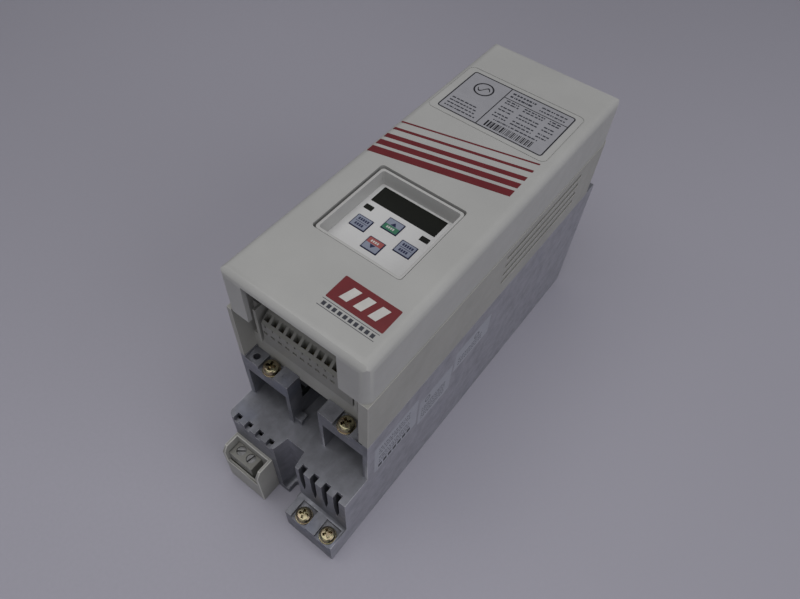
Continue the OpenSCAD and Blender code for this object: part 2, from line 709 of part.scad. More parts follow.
module sensor_terminal() color([0.78, 0.78, 0.74]) {
    low = [shroud_x[0] + 2.5, foot_y - 11, 3.1];
    difference() {
        block(low, [low[0] + 18.5, foot_y - 2.2, sensor_top]);
        for (x = sensor_pole_x) {
            translate([low[0] + x, sensor_screw_y, sensor_top - 13]) cylinder(r = 3.1, h = 20);
            block([low[0] + x - 1.8, low[1] - 1, sensor_top - 8],
                  [low[0] + x + 1.8, low[1] + 1.6, sensor_top - 4]);
        }
    }
}

module sensor_screws() color([0.66, 0.66, 0.66]) for (x = sensor_pole_x)
    translate([shroud_x[0] + 2.5 + x, sensor_screw_y, sensor_top - 3.4])
        slotted_screw(2.95, 2.8, 1.8, 6, 12 + 5 * x);

// ---------------------------------------------------------------- fan

module fan_frame() color(dark) {
    difference() {
        block([-fan_size / 2, fan_y, fan_z - fan_size / 2], [fan_size / 2, fan_y + fan_t, fan_z + fan_size / 2]);
        along_y([0, fan_y - 1, fan_z], duct_r, fan_t + 2);
        for (x = [-fan_hole, fan_hole], z = [-fan_hole, fan_hole])
            along_y([x, fan_y - 1, fan_z + z], 2.2, fan_t + 2);
    }
    // motor base on four struts, with the bearing tube
    translate([0, fan_y, fan_z]) rotate([-90, 0, 0]) {
        linear_extrude(3) difference() {
            union() {
                circle(hub_r - 1);
                for (turn = [45, 135]) rotate(turn) square([2 * duct_r + 1, 3], center = true);
            }
            circle(bearing_r);
        }
        linear_extrude(18) difference() {
            circle(bearing_r + 1.2);
            circle(bearing_r);
        }
    }
}

module fan_bearings() color([0.75, 0.75, 0.77]) for (y = [fan_y + 1, fan_y + 13])
    difference() {
        along_y([0, y, fan_z], bearing_r, 4);
        along_y([0, y - 1, fan_z], shaft_r + fan_pin_clear, 6);
    }

module fan_stator() color([0.62, 0.34, 0.16]) difference() {
    along_y([0, fan_y + 4, fan_z], hub_r - hub_wall - 1.2, 11);
    along_y([0, fan_y + 3, fan_z], bearing_r + 1.2, 13);
}

module fan_rotor() color(dark) {
    difference() {
        along_y([0, fan_y + 3.6, fan_z], hub_r, 19.4);
        along_y([0, fan_y + 3, fan_z], hub_r - hub_wall, 18);
    }
    // blades: pitched plates trimmed between the hub and the duct
    for (i = [0 : blade_count - 1]) intersection() {
        translate([0, fan_y + 13.3, fan_z]) rotate([0, 360 / blade_count * i, 0])
            translate([hub_r - 0.8, 0, 0]) rotate([42, 0, 0])
                translate([0, -0.8, -11]) cube([tip_r, 1.6, 22]);
        difference() {
            along_y([0, fan_y + 4.5, fan_z], tip_r, 18);
            along_y([0, fan_y + 3, fan_z], hub_r - 0.6, 22);
        }
    }
}

module fan_shaft() color([0.7, 0.7, 0.72]) along_y([0, fan_y + 0.6, fan_z], shaft_r, 20.4);

module fan_guard() color([0.66, 0.67, 0.70]) {
    y = metal_far - guard_t;
    difference() {
        block([-inner_x + 0.2, y, flange_t + 0.1], [inner_x - 0.2, y + guard_t, shelf_z - 0.1]);
        along_y([0, y - 1, fan_z], duct_r - 0.5, 4);
        for (x = [-fan_hole, fan_hole], z = [-fan_hole, fan_hole])
            along_y([x, y - 1, fan_z + z], 2.1, 4);
    }
    for (r = [8, 13, 18, 23]) difference() {
        along_y([0, y, fan_z], r + 0.8, guard_t);
        along_y([0, y - 1, fan_z], r - 0.8, guard_t + 2);
    }
    for (turn = [0, 90]) translate([0, y, fan_z]) rotate([0, turn, 0])
        translate([-duct_r, 0, -1]) cube([2 * duct_r, guard_t, 2]);
}

module fan_screws() color(zinc) for (x = [-fan_hole, fan_hole], z = [-fan_hole, fan_hole])
    translate([x, metal_far, fan_z + z]) rotate([-90, 0, 0]) pan_screw(3.6, 2.2, 1.9, 10);

heatsink_housing();
cooling_fins();
lower_housing();
front_cover();
rating_label();
stripe_print();
badge();
side_labels();
operator_frame();
operator_face_plate();
display_window();
led_windows();
display_block();
operator_leds();
key_switches();
operator_board();
operator_back_cover();
operator_plug();
key_left();
key_right();
key_up();
key_down();
control_plug();
control_screws();
control_header();
header_pins();
control_board();
processor();
board_capacitors();
operator_socket();
flat_cable();
power_board();
board_spacers();
inverter_module();
rectifier_module();
dc_capacitors();
film_capacitors();
charging_relay();
mains_choke();
supply_transformer();
line_terminals();
motor_terminals();
power_terminal_screws();
tab_washers();
tab_screws();
ledge_washers();
ledge_screws();
terminal_shroud();
sensor_terminal();
sensor_screws();
fan_frame();
fan_bearings();
fan_stator();
fan_rotor();
fan_shaft();
fan_guard();
fan_screws();
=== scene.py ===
"""A variable frequency drive lying on its back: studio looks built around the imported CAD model.

Most pieces are finer copies of the CAD solids, with softened edges and procedural materials.
The prints, the screw heads, the key caps and the small parts on the control board are modelled here.
Lengths are in millimetres until they reach a mesh.
"""

import json
import math
import random

import bmesh
import bpy
from mathutils import Matrix, Vector


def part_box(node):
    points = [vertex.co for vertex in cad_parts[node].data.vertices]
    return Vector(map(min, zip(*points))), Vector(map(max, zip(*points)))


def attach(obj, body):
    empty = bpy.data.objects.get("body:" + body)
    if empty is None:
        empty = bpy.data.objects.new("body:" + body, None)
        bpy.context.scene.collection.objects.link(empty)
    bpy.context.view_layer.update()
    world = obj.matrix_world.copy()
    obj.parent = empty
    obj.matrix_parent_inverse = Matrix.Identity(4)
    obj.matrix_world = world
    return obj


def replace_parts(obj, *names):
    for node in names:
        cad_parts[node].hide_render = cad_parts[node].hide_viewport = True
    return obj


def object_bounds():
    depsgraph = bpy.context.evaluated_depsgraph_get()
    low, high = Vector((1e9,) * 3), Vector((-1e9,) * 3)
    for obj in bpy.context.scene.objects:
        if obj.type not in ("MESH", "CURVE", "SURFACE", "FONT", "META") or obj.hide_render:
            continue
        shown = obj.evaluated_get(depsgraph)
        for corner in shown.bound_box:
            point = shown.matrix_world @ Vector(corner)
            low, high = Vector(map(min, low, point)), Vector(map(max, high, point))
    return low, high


MM = 0.001
INK = 0.03  # thickness of a print on its film or panel
SIDE_WALL_X = 44.7  # just inside the drive's outer side walls
KEY_MARGIN = 0.9  # how far a key's foot reaches past its cap
LEG_PITCH = 1.27  # between the legs of a chip
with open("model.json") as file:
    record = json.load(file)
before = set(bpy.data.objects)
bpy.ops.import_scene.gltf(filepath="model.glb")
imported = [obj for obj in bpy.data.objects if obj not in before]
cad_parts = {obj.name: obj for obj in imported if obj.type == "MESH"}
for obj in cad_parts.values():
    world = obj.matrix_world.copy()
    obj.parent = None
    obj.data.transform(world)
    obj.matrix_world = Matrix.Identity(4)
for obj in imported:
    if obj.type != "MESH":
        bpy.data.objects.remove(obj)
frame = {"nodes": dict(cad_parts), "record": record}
cad_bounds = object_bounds()


def place(node):
    """Lowest and highest corner of a CAD node, in millimetres."""
    low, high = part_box(node)
    return Vector(low) / MM, Vector(high) / MM


# ---------------------------------------------------------------- camera, light and floor

CAMERA_AT = (0.12673, -0.2132, 0.41246)
CAMERA_AZIMUTH = math.radians(34.16)
CAMERA_ELEVATION = math.radians(53.95)
CAMERA_ROLL = math.radians(4.1)


def add_camera():
    right = Vector((math.cos(CAMERA_AZIMUTH), math.sin(CAMERA_AZIMUTH), 0))
    back = Vector(
        (
            math.sin(CAMERA_AZIMUTH) * math.cos(CAMERA_ELEVATION),
            -math.cos(CAMERA_AZIMUTH) * math.cos(CAMERA_ELEVATION),
            math.sin(CAMERA_ELEVATION),
        )
    )
    up = back.cross(right)
    turned_right = right * math.cos(CAMERA_ROLL) + up * math.sin(CAMERA_ROLL)
    turned_up = up * math.cos(CAMERA_ROLL) - right * math.sin(CAMERA_ROLL)
    data = bpy.data.cameras.new("camera")
    data.sensor_width = 36
    data.lens = 29.09
    data.clip_start = 0.01
    data.clip_end = 20
    camera = bpy.data.objects.new("camera", data)
    bpy.context.scene.collection.objects.link(camera)
    turn = Matrix((turned_right, turned_up, back)).transposed().to_4x4()
    camera.matrix_world = Matrix.Translation(CAMERA_AT) @ turn
    bpy.context.scene.camera = camera


def add_area_light(name, position, target, size, power, colour):
    data = bpy.data.lights.new(name, "AREA")
    data.shape = "SQUARE"
    data.size = size
    data.energy = power
    data.color = colour
    light = bpy.data.objects.new(name, data)
    bpy.context.scene.collection.objects.link(light)
    light.location = position
    light.rotation_euler = (Vector(target) - Vector(position)).to_track_quat("-Z", "Y").to_euler()


def add_studio():
    world = bpy.data.worlds.new("studio")
    bpy.context.scene.world = world
    world.use_nodes = True
    background = world.node_tree.nodes["Background"]
    background.inputs["Color"].default_value = (0.92, 0.93, 1.0, 1)
    background.inputs["Strength"].default_value = 0.19
    middle = (0, 0, 0.09)
    add_area_light("overhead", (-0.05, -0.15, 1.2), middle, 1.1, 6.0, (1.0, 0.99, 0.97))
    add_area_light("right", (1.2, 0.0, 0.75), middle, 1.1, 4.8, (0.98, 0.98, 1.0))
    add_area_light("front", (0.2, -1.3, 0.7), middle, 1.1, 1.7, (1.0, 1.0, 1.0))
    view = bpy.context.scene.view_settings
    view.view_transform = "Standard"
    view.look = "None"
    view.exposure = 0
    view.gamma = 1


# ---------------------------------------------------------------- materials


class Look:
    """A node material: one principled shader, and helpers that add the texture nodes it needs."""

    def __init__(self, name, metallic=0.0, specular=0.5):
        self.material = bpy.data.materials.new(name)
        self.material.use_nodes = True
        self.tree = self.material.node_tree
        self.shader = self.tree.nodes["Principled BSDF"]
        self.shader.inputs["Metallic"].default_value = metallic
        self.shader.inputs["Specular IOR Level"].default_value = specular
        self.where = self.tree.nodes.new("ShaderNodeTexCoord").outputs["Object"]

    def link(self, source, target):
        self.tree.links.new(source, target)

    def noise(self, size_mm, detail=3.0, roughness=0.55, stretch=(1, 1, 1)):
        """Noise whose features are about size_mm across."""
        mapping = self.tree.nodes.new("ShaderNodeMapping")
        mapping.inputs["Scale"].default_value = stretch
        self.link(self.where, mapping.inputs["Vector"])
        node = self.tree.nodes.new("ShaderNodeTexNoise")
        node.inputs["Scale"].default_value = 1 / (size_mm * MM)
        node.inputs["Detail"].default_value = detail
        node.inputs["Roughness"].default_value = roughness
        self.link(mapping.outputs["Vector"], node.inputs["Vector"])
        return node.outputs["Fac"]

    def edge(self):
        """1 on softened edges and 0 elsewhere."""
        node = self.tree.nodes.new("ShaderNodeAttribute")
        node.attribute_name = "edge"
        return node.outputs["Fac"]

    def painted_light_outer_wall(self):
        """Painted light: about 0.7 on the faces that end the drive to the left and right, so they come out
        lighter than the shaded metal inside, and 0 inside.
        """
        parts = self.tree.nodes.new("ShaderNodeSeparateXYZ")
        self.link(self.where, parts.inputs["Vector"])
        size = self.tree.nodes.new("ShaderNodeMath")
        size.operation = "ABSOLUTE"
        self.link(parts.outputs["X"], size.inputs[0])
        wall = self.span(size.outputs["Value"], (SIDE_WALL_X - 0.1) * MM, (SIDE_WALL_X + 0.1) * MM, 0, 0.7)
        return self.times(wall, self.span(self.noise(9, detail=5), 0.3, 0.6, 0.55, 1))

    def span(self, value, low, high, to_low, to_high):
        """value, mapped from low..high to to_low..to_high and held there."""
        node = self.tree.nodes.new("ShaderNodeMapRange")
        limits = {"From Min": low, "From Max": high, "To Min": to_low, "To Max": to_high}
        for name, number in limits.items():
            node.inputs[name].default_value = number
        self.link(value, node.inputs["Value"])
        return node.outputs["Result"]

    def times(self, a, b):
        node = self.tree.nodes.new("ShaderNodeMath")
        node.operation = "MULTIPLY"
        self.link(a, node.inputs[0])
        if isinstance(b, (int, float)):
            node.inputs[1].default_value = b
        else:
            self.link(b, node.inputs[1])
        return node.outputs["Value"]

    def mix(self, share, a, b):
        """From colour a to colour b as share goes from 0 to 1."""
        node = self.tree.nodes.new("ShaderNodeMix")
        node.data_type = "RGBA"
        self.link(share, node.inputs["Factor"])
        for socket, colour in ((node.inputs[6], a), (node.inputs[7], b)):
            if isinstance(colour, tuple):
                socket.default_value = (*colour, 1)
            else:
                self.link(colour, socket)
        return node.outputs[2]

    def colour(self, socket):
        self.link(socket, self.shader.inputs["Base Color"])

    def rough(self, value, low, high):
        self.link(self.span(value, 0.3, 0.7, low, high), self.shader.inputs["Roughness"])

    def bump(self, height, depth_mm, strength=1.0):
        node = self.tree.nodes.new("ShaderNodeBump")
        node.inputs["Strength"].default_value = strength
        node.inputs["Distance"].default_value = depth_mm * MM
        self.link(height, node.inputs["Height"])
        self.link(node.outputs["Normal"], self.shader.inputs["Normal"])


def scaled(colour, factor):
    return tuple(min(1.0, c * factor) for c in colour)


def moulded_plastic(name, colour, grain_mm=0.45, depth_mm=0.02, rough=(0.42, 0.6), dirt=0.9, edge=1.06):
    """Plastic with a fine grain, slow changes of tone, faint handling marks and a painted highlight on its
    edges.
    """
    look = Look(name, specular=0.4)
    tone = look.mix(look.span(look.noise(38), 0.35, 0.65, 0, 1), scaled(colour, dirt), colour)
    speck = look.span(look.noise(0.9, detail=5), 0.6, 0.75, 0, 0.22)
    tone = look.mix(speck, tone, scaled(colour, 0.72))
    scuff = look.span(look.noise(6, detail=6, roughness=0.75, stretch=(1, 0.25, 1)), 0.66, 0.74, 0, 0.35)
    tone = look.mix(scuff, tone, scaled(colour, 0.8))
    # painted highlight: the softened edges are lightened by the edge factor
    look.colour(look.mix(look.times(look.edge(), 0.8), tone, scaled(colour, edge)))
    look.rough(look.noise(9), *rough)
    look.bump(look.noise(grain_mm, detail=2), depth_mm, 0.6)
    return look.material


def cast_metal(name, colour, bare_and_highlight_colour, outer):
    """Die-cast aluminium: mottled skin with flow marks and stains, worn bare edges with a painted
    highlight, and painted light on the outer walls.
    """
    look = Look(name, metallic=0.75, specular=0.5)
    patches = look.span(look.noise(14, detail=5, roughness=0.65), 0.36, 0.66, 0, 1)
    mottle = look.mix(patches, scaled(colour, 0.74), colour)
    flow = look.span(look.noise(7, detail=4, stretch=(1, 0.35, 0.35)), 0.5, 0.72, 0, 0.5)
    mottle = look.mix(flow, mottle, scaled(colour, 1.22))
    stain = look.span(look.noise(26, detail=2), 0.58, 0.72, 0, 0.4)
    mottle = look.mix(stain, mottle, (colour[0] * 0.72, colour[1] * 0.78, colour[2] * 0.95))
    # worn bare metal on the softened edges, lightened further as a painted highlight
    edge_wear_and_highlight = look.times(look.edge(), look.span(look.noise(3, detail=4), 0.35, 0.6, 0.4, 1))
    # painted light: the outer side walls are mixed towards the lighter outer colour, unlike the shaded
    # metal inside
    mottle = look.mix(look.painted_light_outer_wall(), mottle, outer)
    look.colour(look.mix(edge_wear_and_highlight, mottle, bare_and_highlight_colour))
    look.rough(look.noise(4, detail=4), 0.42, 0.62)
    look.bump(look.noise(0.8, detail=5, roughness=0.7), 0.09, 0.7)
    return look.material


def plated_steel(name, colour, tint, rough=(0.18, 0.36)):
    """Plated steel whose colour drifts between two tints, with fine tooling marks."""
    look = Look(name, metallic=1.0)
    drift = look.mix(look.span(look.noise(2.6, detail=3), 0.38, 0.62, 0, 1), colour, tint)
    look.colour(look.mix(look.span(look.noise(0.7), 0.55, 0.8, 0, 0.5), drift, scaled(colour, 0.55)))
    look.rough(look.noise(1.2), *rough)
    look.bump(look.noise(0.35), 0.02, 0.5)
    return look.material


def glossy_plastic(name, colour, rough=(0.12, 0.22), specular=0.5):
    """Smooth plastic or film with faint smears."""
    look = Look(name, specular=specular)
    smear = look.span(look.noise(12, detail=4), 0.35, 0.7, 0, 1)
    look.colour(look.mix(smear, colour, scaled(colour, 0.86)))
    look.rough(look.noise(5, detail=5), *rough)
    look.bump(look.noise(4), 0.01, 0.3)
    return look.material


def silver_film(name, colour):
    """Satin metallised label with a fine grain along its length."""
    look = Look(name, metallic=0.35, specular=0.5)
    brushed = look.noise(0.5, detail=3, stretch=(0.06, 1, 1))
    tone = look.mix(look.span(brushed, 0.35, 0.65, 0, 1), scaled(colour, 0.92), colour)
    look.colour(look.mix(look.span(look.noise(16), 0.4, 0.7, 0, 0.6), tone, scaled(colour, 0.9)))
    look.rough(look.noise(6), 0.34, 0.46)
    look.bump(brushed, 0.004, 0.4)
    return look.material


def printed_ink(name, colour):
    """Screen print: dense ink with tiny pinholes."""
    look = Look(name, specular=0.35)
    pinhole = look.span(look.noise(0.5, detail=4), 0.68, 0.74, 0, 0.5)
    tone = look.mix(look.span(look.noise(9), 0.4, 0.65, 0, 1), colour, scaled(colour, 1.12))
    look.colour(look.mix(pinhole, tone, scaled(colour, 1.9)))
    look.rough(look.noise(3), 0.36, 0.5)
    return look.material


def circuit_laminate(name, mask, track):
    """Green solder mask over copper tracks, which show as lighter raised lines."""
    look = Look(name, specular=0.5)
    wave = look.tree.nodes.new("ShaderNodeTexWave")
    wave.inputs["Scale"].default_value = 260
    wave.inputs["Distortion"].default_value = 3.5
    wave.inputs["Detail"].default_value = 1
    look.link(look.where, wave.inputs["Vector"])
    lines = look.span(wave.outputs["Fac"], 0.62, 0.7, 0, 1)
    areas = look.span(look.noise(11, detail=0), 0.46, 0.5, 0, 1)
    tracks = look.times(lines, areas)
    look.colour(look.mix(tracks, mask, track))
    look.rough(look.noise(6), 0.2, 0.34)
    look.bump(tracks, 0.035, 0.8)
    return look.material


def wound_copper(name, colour):
    """Lacquered copper wire, wound in fine turns."""
    look = Look(name, metallic=0.6)
    wave = look.tree.nodes.new("ShaderNodeTexWave")
    wave.bands_direction = "DIAGONAL"
    wave.inputs["Scale"].default_value = 420
    look.link(look.where, wave.inputs["Vector"])
    look.colour(look.mix(wave.outputs["Fac"], scaled(colour, 0.5), colour))
    look.rough(look.noise(2), 0.25, 0.4)
    look.bump(wave.outputs["Fac"], 0.2, 0.8)
    return look.material


IVORY = (0.415, 0.415, 0.405)
BEIGE = (0.355, 0.352, 0.33)
METAL = (0.25, 0.255, 0.285)

LOOKS = {
    # edge sets the painted highlight on softened edges; the housing's is strongest, for the light line
    # along its seam with the cover
    "cover_plastic": moulded_plastic("cover_plastic", IVORY, dirt=0.94, edge=1.12),
    "housing_plastic": moulded_plastic("housing_plastic", BEIGE, dirt=0.9, edge=1.7),
    "operator_plastic": moulded_plastic("operator_plastic", (0.45, 0.448, 0.44), grain_mm=0.3, dirt=0.97),
    "terminal_plastic": moulded_plastic(
        "terminal_plastic", (0.235, 0.233, 0.215), grain_mm=0.3, rough=(0.34, 0.5)
    ),
    # third colour: worn bare edges with a painted highlight; fourth colour: painted light on the outer
    # side walls
    "cast_metal": cast_metal("cast_metal", METAL, (0.68, 0.68, 0.71), (0.50, 0.50, 0.545)),
    "fin_metal": cast_metal("fin_metal", (0.24, 0.25, 0.27), (0.42, 0.43, 0.45), (0.5, 0.5, 0.53)),
    "label_film": silver_film("label_film", (0.43, 0.43, 0.46)),
    "sticker_film": silver_film("sticker_film", (0.42, 0.435, 0.48)),
    "stripe_ink": printed_ink("stripe_ink", (0.125, 0.012, 0.016)),
    "badge_ink": printed_ink("badge_ink", (0.14, 0.014, 0.018)),
    "black_ink": printed_ink("black_ink", (0.009, 0.009, 0.013)),
    "grey_ink": printed_ink("grey_ink", (0.032, 0.034, 0.045)),
    "navy_ink": printed_ink("navy_ink", (0.012, 0.016, 0.055)),
    "white_ink": printed_ink("white_ink", (0.52, 0.51, 0.49)),
    "face_film": moulded_plastic("face_film", (0.60, 0.60, 0.60), grain_mm=0.25, depth_mm=0.01, dirt=0.98),
    "window_plastic": glossy_plastic(
        "window_plastic", (0.012, 0.013, 0.011), rough=(0.3, 0.4), specular=0.15
    ),
    "display_plastic": glossy_plastic("display_plastic", (0.02, 0.02, 0.02), rough=(0.3, 0.5)),
    "led_plastic": glossy_plastic("led_plastic", (0.30, 0.02, 0.015)),
    "switch_plastic": moulded_plastic("switch_plastic", (0.02, 0.02, 0.022), depth_mm=0.01),
    "key_grey": moulded_plastic("key_grey", (0.24, 0.265, 0.34), grain_mm=0.25, depth_mm=0.01, dirt=0.97),
    "key_green": moulded_plastic(
        "key_green", (0.035, 0.165, 0.095), grain_mm=0.25, depth_mm=0.01, dirt=0.97
    ),
    "key_red": moulded_plastic("key_red", (0.32, 0.08, 0.075), grain_mm=0.25, depth_mm=0.01, dirt=0.97),
    "zinc_steel": plated_steel("zinc_steel", (0.34, 0.32, 0.20), (0.34, 0.27, 0.19), rough=(0.16, 0.32)),
    "plain_steel": plated_steel("plain_steel", (0.27, 0.27, 0.275), (0.2, 0.2, 0.205), rough=(0.35, 0.55)),
    "plug_metal": plated_steel("plug_metal", (0.48, 0.49, 0.50), (0.40, 0.41, 0.42)),
    "contact_brass": plated_steel("contact_brass", (0.70, 0.50, 0.18), (0.60, 0.40, 0.14)),
    "steel_spacer": plated_steel("steel_spacer", (0.60, 0.46, 0.20), (0.50, 0.38, 0.16)),
    "board_laminate": circuit_laminate("board_laminate", (0.012, 0.075, 0.028), (0.03, 0.13, 0.05)),
    "chip_plastic": moulded_plastic("chip_plastic", (0.016, 0.016, 0.018), grain_mm=0.2, depth_mm=0.01),
    "can_sleeve": glossy_plastic("can_sleeve", (0.016, 0.03, 0.09), rough=(0.2, 0.35)),
    "cable_sheath": moulded_plastic("cable_sheath", (0.30, 0.30, 0.29)),
    "module_plastic": moulded_plastic("module_plastic", (0.03, 0.03, 0.035)),
    "film_case": glossy_plastic("film_case", (0.50, 0.32, 0.03), rough=(0.25, 0.4)),
    "relay_case": glossy_plastic("relay_case", (0.03, 0.07, 0.18), rough=(0.2, 0.35)),
    "core_metal": wound_copper("core_metal", (0.45, 0.18, 0.06)),
    "copper_winding": wound_copper("copper_winding", (0.50, 0.20, 0.08)),
    "block_plastic": moulded_plastic("block_plastic", (0.035, 0.038, 0.04)),
    "fan_plastic": moulded_plastic("fan_plastic", (0.02, 0.02, 0.022), grain_mm=0.3),
}

BODY_OF = {node: body for body, nodes in frame["record"]["behaviour"]["bodies"].items() for node in nodes}
SLOT_OF = {row["node"]: row["material_slot"] for row in frame["record"]["subparts"]}


# ---------------------------------------------------------------- mesh helpers


def add_piece(name, mesh, body, look):
    """A new object that rides on a body."""
    piece = bpy.data.objects.new(name, mesh)
    bpy.context.scene.collection.objects.link(piece)
    if not mesh.materials:
        mesh.materials.append(LOOKS[look])
    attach(piece, body)
    return piece


def smooth(mesh, angle=50):
    mesh.shade_smooth()
    mesh.set_sharp_from_angle(angle=math.radians(angle))


def to_mesh(bm, name, angle=50):
    mesh = bpy.data.meshes.new(name)
    bmesh.ops.recalc_face_normals(bm, faces=bm.faces)
    bm.to_mesh(mesh)
    bm.free()
    smooth(mesh, angle)
    return mesh


def soften(bm, radius_mm, segments=2, angle=35):
    """Rounds every outward edge sharper than angle, and marks the new faces in the edge attribute."""
    edge_wear_and_highlight = bm.faces.layers.float.get("edge") or bm.faces.layers.float.new("edge")
    sharp = [
        edge
        for edge in bm.edges
        if len(edge.link_faces) == 2 and edge.is_convex and edge.calc_face_angle(0) > math.radians(angle)
    ]
    made = bmesh.ops.bevel(
        bm,
        geom=sharp,
        offset=radius_mm * MM,
        offset_type="OFFSET",
        segments=segments,
        profile=0.5,
        affect="EDGES",
        clamp_overlap=True,
    )
    for face in made["faces"]:
        face[edge_wear_and_highlight] = 1.0


def refine(node, radius_mm, segments=2):
    """Replaces a CAD node by a copy with whole faces instead of triangles, and softened edges."""
    bm = bmesh.new()
    bm.from_mesh(frame["nodes"][node].data)
    bmesh.ops.remove_doubles(bm, verts=bm.verts, dist=0.001 * MM)
    bmesh.ops.dissolve_limit(
        bm, angle_limit=math.radians(0.2), verts=bm.verts, edges=bm.edges, use_dissolve_boundaries=False
    )
    soften(bm, radius_mm, segments)
    piece = add_piece(node + "_fine", to_mesh(bm, node), BODY_OF[node], SLOT_OF[node])
    piece.modifiers.new("even_normals", "WEIGHTED_NORMAL").keep_sharp = True
    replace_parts(piece, node)


def add_prism(bm, outline, low, high, frame_matrix=None):
    """A closed prism over an outline of (x, y) points, between two heights."""
    rings = [[bm.verts.new(Vector((x, y, z)) * MM) for x, y in outline] for z in (low, high)]
    count = len(outline)
    bm.faces.new(rings[1])
    bm.faces.new(list(reversed(rings[0])))
    for i in range(count):
        j = (i + 1) % count
        bm.faces.new((rings[0][i], rings[0][j], rings[1][j], rings[1][i]))
    if frame_matrix is not None:
        bmesh.ops.transform(bm, matrix=frame_matrix, verts=[v for ring in rings for v in ring])


def rectangle(x0, y0, x1, y1):
    return [(x0, y0), (x1, y0), (x1, y1), (x0, y1)]


def rounded_rectangle(x0, y0, x1, y1, r, steps=6):
    corners = [(x1 - r, y1 - r, 0), (x0 + r, y1 - r, 90), (x0 + r, y0 + r, 180), (x1 - r, y0 + r, 270)]
    points = []
    for x, y, start in corners:
        for i in range(steps + 1):
            a = math.radians(start + 90 * i / steps)
            points.append((x + r * math.cos(a), y + r * math.sin(a)))
    return points


def disc(x, y, r, count=24):
    angles = [math.tau * i / count for i in range(count)]
    return [(x + r * math.cos(a), y + r * math.sin(a)) for a in angles]


def add_outline(bm, x0, y0, x1, y1, r, line, low, high):
    """A closed frame of a given line width along a rounded rectangle."""
    outer = rounded_rectangle(x0, y0, x1, y1, r)
    inner = rounded_rectangle(x0 + line, y0 + line, x1 - line, y1 - line, max(r - line, 0.05))
    add_band(bm, outer, inner, low, high)


def add_band(bm, outer, inner, low, high, frame_matrix=None):
    """The closed ring between two outlines with the same number of points."""
    count = len(outer)
    rings = [
        [bm.verts.new(Vector((x, y, z)) * MM) for x, y in outline]
        for outline, z in ((outer, low), (outer, high), (inner, high), (inner, low))
    ]
    for a in range(4):
        for i in range(count):
            j = (i + 1) % count
            bm.faces.new((rings[a][i], rings[a][j], rings[(a + 1) % 4][j], rings[(a + 1) % 4][i]))
    if frame_matrix is not None:
        bmesh.ops.transform(bm, matrix=frame_matrix, verts=[v for ring in rings for v in ring])


def add_lathe(bm, profile, steps):
    """A closed shape turned about Z: profile is (radius, height) points, from the axis back to it."""
    rings = []
    for r, h in profile:
        count = 1 if r < 0.001 else steps
        rings.append([])
        for i in range(count):
            a = math.tau * i / steps
            rings[-1].append(bm.verts.new(Vector((r * math.cos(a), r * math.sin(a), h)) * MM))
    for low, high in zip(rings, rings[1:]):
        for i in range(steps):
            j = (i + 1) % steps
            corners = [low[i % len(low)], low[j % len(low)], high[j % len(high)], high[i % len(high)]]
            unique = list(dict.fromkeys(corners))
            if len(unique) > 2:
                bm.faces.new(unique)


def cut(piece_mesh, cutter_mesh):
    """piece_mesh minus cutter_mesh, as a new mesh."""
    body = bpy.data.objects.new("cut_body", piece_mesh)
    tool = bpy.data.objects.new("cut_tool", cutter_mesh)
    for part in (body, tool):
        bpy.context.scene.collection.objects.link(part)
    change = body.modifiers.new("cut", "BOOLEAN")
    change.object = tool
    change.operation = "DIFFERENCE"
    change.solver = "EXACT"
    bpy.context.view_layer.update()
    done = bpy.data.meshes.new_from_object(body.evaluated_get(bpy.context.evaluated_depsgraph_get()))
    for part in (body, tool):
        bpy.data.objects.remove(part)
    return done


# ---------------------------------------------------------------- shells


def shells():
    refine("front_cover", 0.3)
    refine("lower_housing", 0.35)
    refine("heatsink_housing", 0.55)
    refine("cooling_fins", 0.4)
    refine("operator_frame", 0.25)
    refine("terminal_shroud", 0.45)


def earth_marks():
    """Raised rings with the earth symbol on the two tabs."""
    low, _ = place("tab_washers")
    base, ring_top, symbol_top = low.z + 2.8, low.z + 3.18, low.z + 3.16
    y = low.y + 5.6
    bm = bmesh.new()
    for x in (-15, 15.5):
        add_band(bm, disc(x, y, 3.0, 32), disc(x, y, 2.6, 32), base, ring_top)
        add_prism(bm, rectangle(x - 0.15, y - 0.1, x + 0.15, y + 1.7), base, symbol_top)
        for row, half in enumerate((1.5, 1.0, 0.5)):
            edge = y - 0.1 - 0.6 * row
            add_prism(bm, rectangle(x - half, edge - 0.28, x + half, edge), base, symbol_top)
    add_piece("earth_marks", to_mesh(bm, "earth_marks"), "drive", "cast_metal")


# ---------------------------------------------------------------- prints on the cover


def flat_print(name, body, look, draw):
    bm = bmesh.new()
    draw(bm)
    return add_piece(name, to_mesh(bm, name), body, look)


def text_bars(bm, x0, x1, y, height, low, high, gaps):
    """A row of short bars that stands for a line of small print."""
    x = x0
    while x < x1 - 0.5:
        width = min(gaps.uniform(0.5, 2.6), x1 - x)
        add_prism(bm, rectangle(x, y, x + width, y + height), low, high)
        x += width + gaps.uniform(0.35, 0.8)


